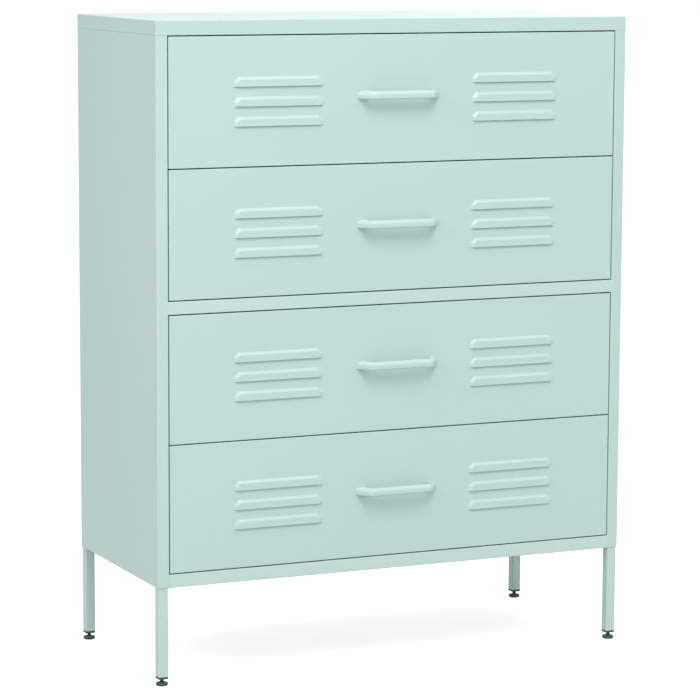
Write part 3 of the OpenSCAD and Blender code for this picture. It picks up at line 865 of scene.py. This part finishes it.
def rollers(node, body):
    """Nylon rollers with rounded treads and a ring groove in both faces."""
    bm = bmesh.new()
    edge = TREAD_ROUND
    for low, high, _ in islands(node):
        r = (high.y - low.y) / 2
        w = high.x - low.x
        half = arc((r - edge, edge), edge, -90, 0, 3)
        rim = r - GROOVE_RIM
        face = [(BORE_R, edge / 2), (BORE_R + edge / 2, 0), (GROOVE_IN, 0), (GROOVE_IN + edge / 2, edge / 4),
                (GROOVE_IN + edge, GROOVE_D), (rim - edge, GROOVE_D), (rim - edge / 2, edge / 4), (rim, 0)]
        front = face + half
        back = [(x, w - y) for x, y in reversed(front)]
        lathe(bm, front + [(r, w / 2)] + back, along_x(low, high), 56, wrap=True)
    finish_piece(mesh_object(node + "_turned", bm), NYLON, body, node)


def rivets(node, body):
    """Riveted pins: a shaft between two domed heads."""
    bm = bmesh.new()
    for low, high, _ in islands(node):
        r = (high.y - low.y) / 2
        length = high.x - low.x
        shares = [(0.35, 0.04), (0.62, 0.18), (0.83, 0.42), (0.96, 0.72), (1, 1)]
        dome = [(r * across, PIN_HEAD * up) for across, up in shares] + [(PIN_R, PIN_HEAD)]
        profile = dome + [(x, length - y) for x, y in reversed(dome)]
        lathe(bm, profile, along_x(low, high), 32)
    finish_piece(mesh_object(node + "_turned", bm), ZINC, body, node)


# ---- pulls ----

def pull_path(half, reach):
    """Stations along a pull's outer side, from its middle to the end of its right foot.

    Each is (x, out, side, ahead): a place, out from the drawer, and the way that the side faces there.
    """
    s, c = sin(PULL_SLOPE), cos(PULL_SLOPE)
    bend_x = half - reach * c / s - PULL_BEND * tan(PULL_SLOPE / 2)
    bend_out = reach - PULL_BEND
    yield 0, reach, 0, 1
    for k in range(BEND_STEPS + 1):
        a = PULL_SLOPE * k / BEND_STEPS
        yield bend_x + PULL_BEND * sin(a), bend_out + PULL_BEND * cos(a), sin(a), cos(a)
    # distances from the foot's end, one of them where the gap's corner on the drawer lies behind the side
    corner = PULL_FOOT * c
    end = (bend_out + PULL_BEND * c) / s
    even = {end * k / SLOPE_STEPS for k in range(1, SLOPE_STEPS)}
    for d in sorted(even | {corner, *PULL_LAST_RINGS}, reverse=True):
        yield half - d * c, d * s, s, c


def pull_depth(half, reach, x, out, side, ahead):
    """How deep the bar is behind a place on its outer side: to the gap behind it or to the drawer."""
    wide, deep, r = half - PULL_FOOT, reach - PULL_T, PULL_BEND_IN

    def solid(t):
        u, v = x - side * t, out - ahead * t
        if u > wide or v > deep:
            return v > 0
        return v > 0 and u > wide - r and v > deep - r and hypot(u - wide + r, v - deep + r) > r

    low, high = 0.0, 0.0
    while solid(high):
        low, high = high, high + DEPTH_STEP
    for _ in range(HALVINGS):
        middle = (low + high) / 2
        low, high = (middle, high) if solid(middle) else (low, middle)
    return low


def pull_ring(depth, height):
    """The bar's section where it is so deep: (depth, height) points, both outer edges round."""
    def top(d):
        return height - PULL_ROUND + sqrt(PULL_ROUND ** 2 - (PULL_ROUND - min(d, PULL_ROUND)) ** 2)

    def under(d):
        return PULL_LOW_ROUND - sqrt(PULL_LOW_ROUND ** 2 - (PULL_LOW_ROUND - min(d, PULL_LOW_ROUND)) ** 2)

    nick = min(PULL_NICK, depth / 4)
    back = depth - nick

    def along(radius, steps):
        last = acos(1 - min(back, radius) / radius)
        return [radius * (1 - cos(last * k / steps)) for k in range(steps + 1)]

    upper = [(d, top(d)) for d in along(PULL_ROUND, 10)]
    lower = [(d, under(d)) for d in along(PULL_LOW_ROUND, 6)]
    behind = [(back, top(back)), (depth, top(depth) - nick),
              (depth, under(depth) + nick), (back, under(back))]
    return upper + behind + lower[::-1]


def pull(i):
    """A bow: its section swept along the straight front, round both bends and down to the two feet."""
    node = f"pull_{i}"
    low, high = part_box(node)
    reach, height, half = FRONT - low.y, high.z - low.z, high.x
    right = list(pull_path(half, reach))
    rings = []
    for mirror, stations in ((-1, right[:0:-1]), (1, right)):
        for x, out, side, ahead in stations:
            section = pull_ring(pull_depth(half, reach, x, out, side, ahead), height)
            rings.append([(mirror * (x - side * d), FRONT - out + ahead * d, low.z + h) for d, h in section])
    bm = bmesh.new()
    loft(bm, rings)
    bar = bare_object(node + "_cast", bm, 40)
    cutters = []
    for sign in (-1, 1):
        bm = bmesh.new()
        start = (sign * (half - PULL_SCREW_IN), FRONT - PULL_BORE, (low.z + high.z) / 2)
        place = Matrix.Translation(start) @ Matrix.Rotation(-pi / 2, 4, "X")
        lathe(bm, [(PULL_BORE_R, 0), (PULL_BORE_R, 2 * PULL_BORE)], place, 32)
        cutters.append(bare_object(f"bore_cutter_{sign}", bm))
    carve(bar, cutters)
    finish_piece(smooth(bar, 40), PAINT, f"drawer_{i}", node)


# ---- legs and feet ----

def square_outline(half, r, steps=6):
    """Points round a square with rounded corners."""
    points = []
    for k in range(4):
        for n in range(steps + 1):
            a = radians(90 * k + 90 * n / steps)
            cx = (half - r) * (1 if k in (0, 3) else -1)
            cy = (half - r) * (1 if k in (0, 1) else -1)
            points.append((cx + r * cos(a), cy + r * sin(a)))
    return points


def square_ring(low, high, inset, corner, z):
    """That outline as points at a height, so far inside the upright box's sides."""
    cx, cy = (low.x + high.x) / 2, (low.y + high.y) / 2
    half = (high.x - low.x) / 2
    return [(cx + x, cy + y, z) for x, y in square_outline(half - inset, corner)]


def leg(node):
    low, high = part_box(node)
    nick = LEG_NICK
    profile = [(0, low.z + nick), (0, high.z - nick), (nick, high.z), (LEG_WALL, high.z),
               (LEG_WALL, low.z + nick), (LEG_WALL - nick, low.z), (nick, low.z)]
    bm = bmesh.new()
    loft(bm, [square_ring(low, high, inset, LEG_ROUND - inset, z) for inset, z in profile], wrap=True)
    finish_piece(mesh_object(node + "_tube", bm), PAINT, "cabinet", node)


def leg_plugs():
    """End plugs: a flange with a rounded lower edge, a body in the tube, and the stud's hole."""
    bm = bmesh.new()
    hole = STUD_R + STUD_PLAY
    for low, high, _ in islands("leg_plugs"):
        cx, cy = (low.x + high.x) / 2, (low.y + high.y) / 2
        body = LEG_WALL + PLUG_PLAY
        lip = low.z + PLUG_FLANGE
        # the first four points round the flange's lower edge
        outer = [(PLUG_ROUND, low.z), (0.00055, low.z + 0.0002), (0.00015, low.z + 0.0006),
                 (0, low.z + 0.0013), (0, lip), (body, lip), (body, high.z - PLUG_LEAD),
                 (body + PLUG_TAPER, high.z)]
        rings = [square_ring(low, high, inset, LEG_ROUND - min(inset, PLUG_ROUND), z) for inset, z in outer]
        angles = square_outline((high.x - low.x) / 2, LEG_ROUND)
        for r, z in ((hole, high.z), (hole, low.z + PLUG_CHAMFER), (hole + PLUG_CHAMFER, low.z)):
            rings.append([(cx + r * x / hypot(x, y), cy + r * y / hypot(x, y), z) for x, y in angles])
        loft(bm, rings, wrap=True)
    finish_piece(mesh_object("leg_plugs_moulded", bm), PLASTIC, "cabinet", "leg_plugs")


def thread(bm, place, radius, pitch, start, stop, turns=16, steps=6):
    """A screw thread along the place's Z axis, closed at both ends."""
    depth = pitch * THREAD_DEPTH
    count = int(round((stop - start) / pitch * steps))
    rings = []
    for k in range(count + 1):
        z = start + (stop - start) * k / count
        fade = min(1, (count - k) / steps)
        ring = []
        for n in range(turns):
            phase = (z / pitch - n / turns) % 1
            r = radius - depth * abs(2 * phase - 1) * fade - depth * (1 - fade)
            ring.append(place @ Vector((r * cos(2 * pi * n / turns), r * sin(2 * pi * n / turns), z)))
        rings.append(ring)
    loft(bm, rings)


def foot(name):
    """A moulded pad with a bulging rim on a threaded stud."""
    node = f"foot_{name}"
    low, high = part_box(node)
    place = Matrix.Translation(((low.x + high.x) / 2, (low.y + high.y) / 2, low.z))
    bulge = PAD_H / 2
    flat = PAD_R - bulge
    profile = [(AXIS_R, PAD_DISH), (flat - PAD_STEP, PAD_DISH), (flat - PAD_STEP / 2, 0.0)]
    profile += arc((flat, bulge), bulge, -90, 90, 12)
    profile += [(flat - PAD_STEP, PAD_H - 0.0001), (HUB_R + 0.001, PAD_H - 0.0006),
                (HUB_R + 0.0004, PAD_H - 0.0004), (HUB_R, PAD_H), (AXIS_R, PAD_H)]
    bm = bmesh.new()
    lathe(bm, profile, place, 56)
    thread(bm, place, STUD_R, STUD_PITCH, PAD_H - STUD_PITCH, high.z - low.z)
    finish_piece(mesh_object(node + "_moulded", bm), PLASTIC, node, node)


# ---- screws ----

def screw_template(shaft_r, length, head_r, head_h, pitch):
    """A pan-head screw with a cross recess: the head's underside at the origin, the shaft along +Z."""
    bm = bmesh.new()
    dome = [(0.02, 1), (0.3, 0.99), (0.55, 0.95), (0.74, 0.86),
            (0.88, 0.70), (0.97, 0.48), (1.0, 0.22), (0.985, 0.0)]
    lathe(bm, [(head_r * a, -head_h * b) for a, b in dome], turns=32)
    head = bare_object("screw_head", bm)
    cutters = []
    for turn in (0, 1):
        bm = bmesh.new()
        wide, deep = head_r * 0.55, head_h * 0.62
        slim = head_r * 0.12
        shape = [(-1, -1), (1, -1), (1, 1), (-1, 1)]
        rings = []
        for share, z in ((1.0, -head_h - 0.0002), (0.45, -head_h + deep)):
            ring = [(a * wide * share, b * slim * (0.6 + 0.4 * share)) for a, b in shape]
            rings.append([(y, x, z) if turn else (x, y, z) for x, y in ring])
        loft(bm, rings)
        cutters.append(bare_object(f"recess_cutter_{turn}", bm))
    carve(head, cutters)
    bm = bmesh.new()
    bm.from_mesh(head.data)
    thread(bm, Matrix.Identity(4), shaft_r, pitch, -head_h * 0.15, length, 12, 5)
    bpy.data.objects.remove(head)
    return to_mesh("screw_template", bm)


def screws(node, body, shaft_r=SCREW_R, head_r=HEAD_R, head_h=HEAD_H, pitch=SCREW_PITCH):
    """A screw in the place of each of the node's CAD screws, its recess turned differently each time."""
    template = None
    bm = bmesh.new()
    for count, (low, high, points) in enumerate(islands(node)):
        size = high - low
        k = min(range(3), key=lambda n: abs(size[(n + 1) % 3] - size[(n + 2) % 3]))
        middle = (low + high) / 2

        def spread(end):
            return max(((p - middle) - Vector(1 if n == k else 0 for n in range(3)) * (p - middle)[k]).length
                       for p in points if abs(p[k] - end) < head_h * 0.6)

        sign = 1 if spread(low[k]) > spread(high[k]) else -1
        direction = Vector((sign if n == k else 0 for n in range(3)))
        origin = middle.copy()
        origin[k] = low[k] + head_h if sign > 0 else high[k] - head_h
        if template is None:
            template = screw_template(shaft_r, size[k] - head_h, head_r, head_h, pitch)
        turn = Vector((0, 0, 1)).rotation_difference(direction).to_matrix().to_4x4()
        start = len(bm.verts)
        bm.from_mesh(template)
        bm.verts.ensure_lookup_table()
        spin = Matrix.Rotation(radians(HEAD_TURN * count), 4, "Z")
        place = Matrix.Translation(origin) @ turn @ spin
        bmesh.ops.transform(bm, matrix=place, verts=bm.verts[start:])
    finish_piece(smooth(link(node + "_turned", to_mesh(node, bm)), 35), ZINC, body, node)


# ---- all the pieces ----

top_panel()
side_panel(-1, "side_panel_left")
side_panel(1, "side_panel_right")
back_panel()
bottom_panel()
middle_rail()
for name in ("front_left", "front_right", "rear_left", "rear_right"):
    leg("leg_" + name)
    foot(name)
leg_plugs()
screws("body_screws", "cabinet")
screws("back_screws", "cabinet")
screws("leg_bolts", "cabinet", BOLT_R, BOLT_HEAD_R, BOLT_HEAD_H, BOLT_PITCH)
rivets("cabinet_roller_pins", "cabinet")
for i in DRAWERS:
    drawer_front(i)
    drawer_tray(i)
    pull(i)
    cabinet_rails(i)
    drawer_rails(i)
    rollers(f"cabinet_rollers_{i}", f"cabinet_rollers_{i}")
    rollers(f"drawer_rollers_{i}", f"drawer_rollers_{i}")
    rivets(f"roller_pins_{i}", f"drawer_{i}")
    screws(f"pull_screws_{i}", f"drawer_{i}")
    screws(f"front_screws_{i}", f"drawer_{i}")

inserts = frame["nodes"]["leg_inserts"]
for place in inserts.material_slots:
    place.material = ZINC


# ---- floor, light and camera ----

def floor():
    bm = bmesh.new()
    half = FLOOR_SIZE / 2
    bm.faces.new([bm.verts.new((x * half, y * half, 0)) for x, y in ((-1, -1), (1, -1), (1, 1), (-1, 1))])
    obj = link("floor", to_mesh("floor", bm))
    material = bpy.data.materials.new("pale floor")
    material.use_nodes = True
    tree = material.node_tree
    shader = tree.nodes["Principled BSDF"]
    grain = tree.nodes.new("ShaderNodeTexNoise")
    grain.inputs["Scale"].default_value = 3
    ramp = tree.nodes.new("ShaderNodeMapRange")
    ramp.inputs["To Min"].default_value, ramp.inputs["To Max"].default_value = FLOOR_TONE
    tree.links.new(grain.outputs["Fac"], ramp.inputs["Value"])
    colour = tree.nodes.new("ShaderNodeCombineColor")
    for key in ("Red", "Green", "Blue"):
        tree.links.new(ramp.outputs["Result"], colour.inputs[key])
    tree.links.new(colour.outputs["Color"], shader.inputs["Base Color"])
    shader.inputs["Roughness"].default_value = 0.9
    shader.inputs["Specular IOR Level"].default_value = 0.1
    # seen straight, the floor is lifted to the backdrop's white
    rays = tree.nodes.new("ShaderNodeLightPath")
    lift = tree.nodes.new("ShaderNodeMath")
    lift.operation = "MULTIPLY"
    lift.inputs[1].default_value = FLOOR_LIFT
    tree.links.new(rays.outputs["Is Camera Ray"], lift.inputs[0])
    shader.inputs["Emission Color"].default_value = (1, 1, 1, 1)
    tree.links.new(lift.outputs["Value"], shader.inputs["Emission Strength"])
    obj.data.materials.append(material)


def lamp(name, place, aim, size, power):
    data = bpy.data.lights.new(name, "AREA")
    data.shape = "RECTANGLE"
    data.size, data.size_y = size
    data.energy = power
    obj = bpy.data.objects.new(name, data)
    obj.location = place
    obj.rotation_euler = (Vector(aim) - Vector(place)).to_track_quat("-Z", "Y").to_euler()
    bpy.context.scene.collection.objects.link(obj)


def world():
    """Soft light, stronger from above, and a white backdrop.

    The surroundings that the paint reflects fall off to the left.
    """
    data = bpy.data.worlds.new("studio")
    bpy.context.scene.world = data
    data.use_nodes = True
    tree = data.node_tree
    way = tree.nodes.new("ShaderNodeTexCoord").outputs["Generated"]
    rays = tree.nodes.new("ShaderNodeLightPath").outputs

    def level(base, slope):
        """A strength that rises along the slope's direction."""
        tilt = tree.nodes.new("ShaderNodeVectorMath")
        tilt.operation = "DOT_PRODUCT"
        tilt.inputs[1].default_value = slope
        tree.links.new(way, tilt.inputs[0])
        total = tree.nodes.new("ShaderNodeMath")
        total.inputs[1].default_value = base
        tree.links.new(tilt.outputs["Value"], total.inputs[0])
        held = tree.nodes.new("ShaderNodeClamp")
        held.inputs["Min"].default_value = 0.1
        tree.links.new(total.outputs["Value"], held.inputs["Value"])
        return held.outputs["Result"]

    def choose(ray, otherwise, seen):
        """The strength seen where the ray is of that kind, otherwise the other one."""
        node = tree.nodes.new("ShaderNodeMix")
        tree.links.new(rays[ray], node.inputs["Factor"])
        tree.links.new(otherwise, node.inputs["A"])
        if isinstance(seen, float):
            node.inputs["B"].default_value = seen
        else:
            tree.links.new(seen, node.inputs["B"])
        return node.outputs["Result"]

    lit = choose("Is Glossy Ray", level(0.68, (0.04, 0, 0.28)), level(0.55, (0.7, 0, 0.4)))
    background = tree.nodes["Background"]
    background.inputs["Color"].default_value = (1, 1, 1, 1)
    tree.links.new(choose("Is Camera Ray", lit, 1.0), background.inputs["Strength"])


def camera():
    """The photograph's viewpoint: yaw to the right, a little down, with a trace of roll."""
    yaw, pitch, roll = CAMERA_YAW, CAMERA_PITCH, CAMERA_ROLL
    right = Vector((cos(yaw), sin(yaw), 0))
    ahead = Vector((-sin(yaw), cos(yaw), 0))
    up = Vector((0, 0, 1))
    forward = ahead * cos(pitch) + up * sin(pitch)
    upward = up * cos(pitch) - ahead * sin(pitch)
    x_axis = right * cos(roll) + upward * sin(roll)
    y_axis = upward * cos(roll) - right * sin(roll)
    data = bpy.data.cameras.new("camera")
    data.lens = CAMERA_LENS
    data.sensor_width = CAMERA_SENSOR
    data.clip_end = 200
    obj = bpy.data.objects.new("camera", data)
    turn = Matrix((x_axis, y_axis, -forward)).transposed().to_4x4()
    obj.matrix_world = Matrix.Translation(CAMERA_PLACE) @ turn
    bpy.context.scene.collection.objects.link(obj)
    bpy.context.scene.camera = obj


floor()
world()
for values in LAMPS:
    lamp(*values)
camera()
bpy.context.scene.view_settings.view_transform = "Standard"
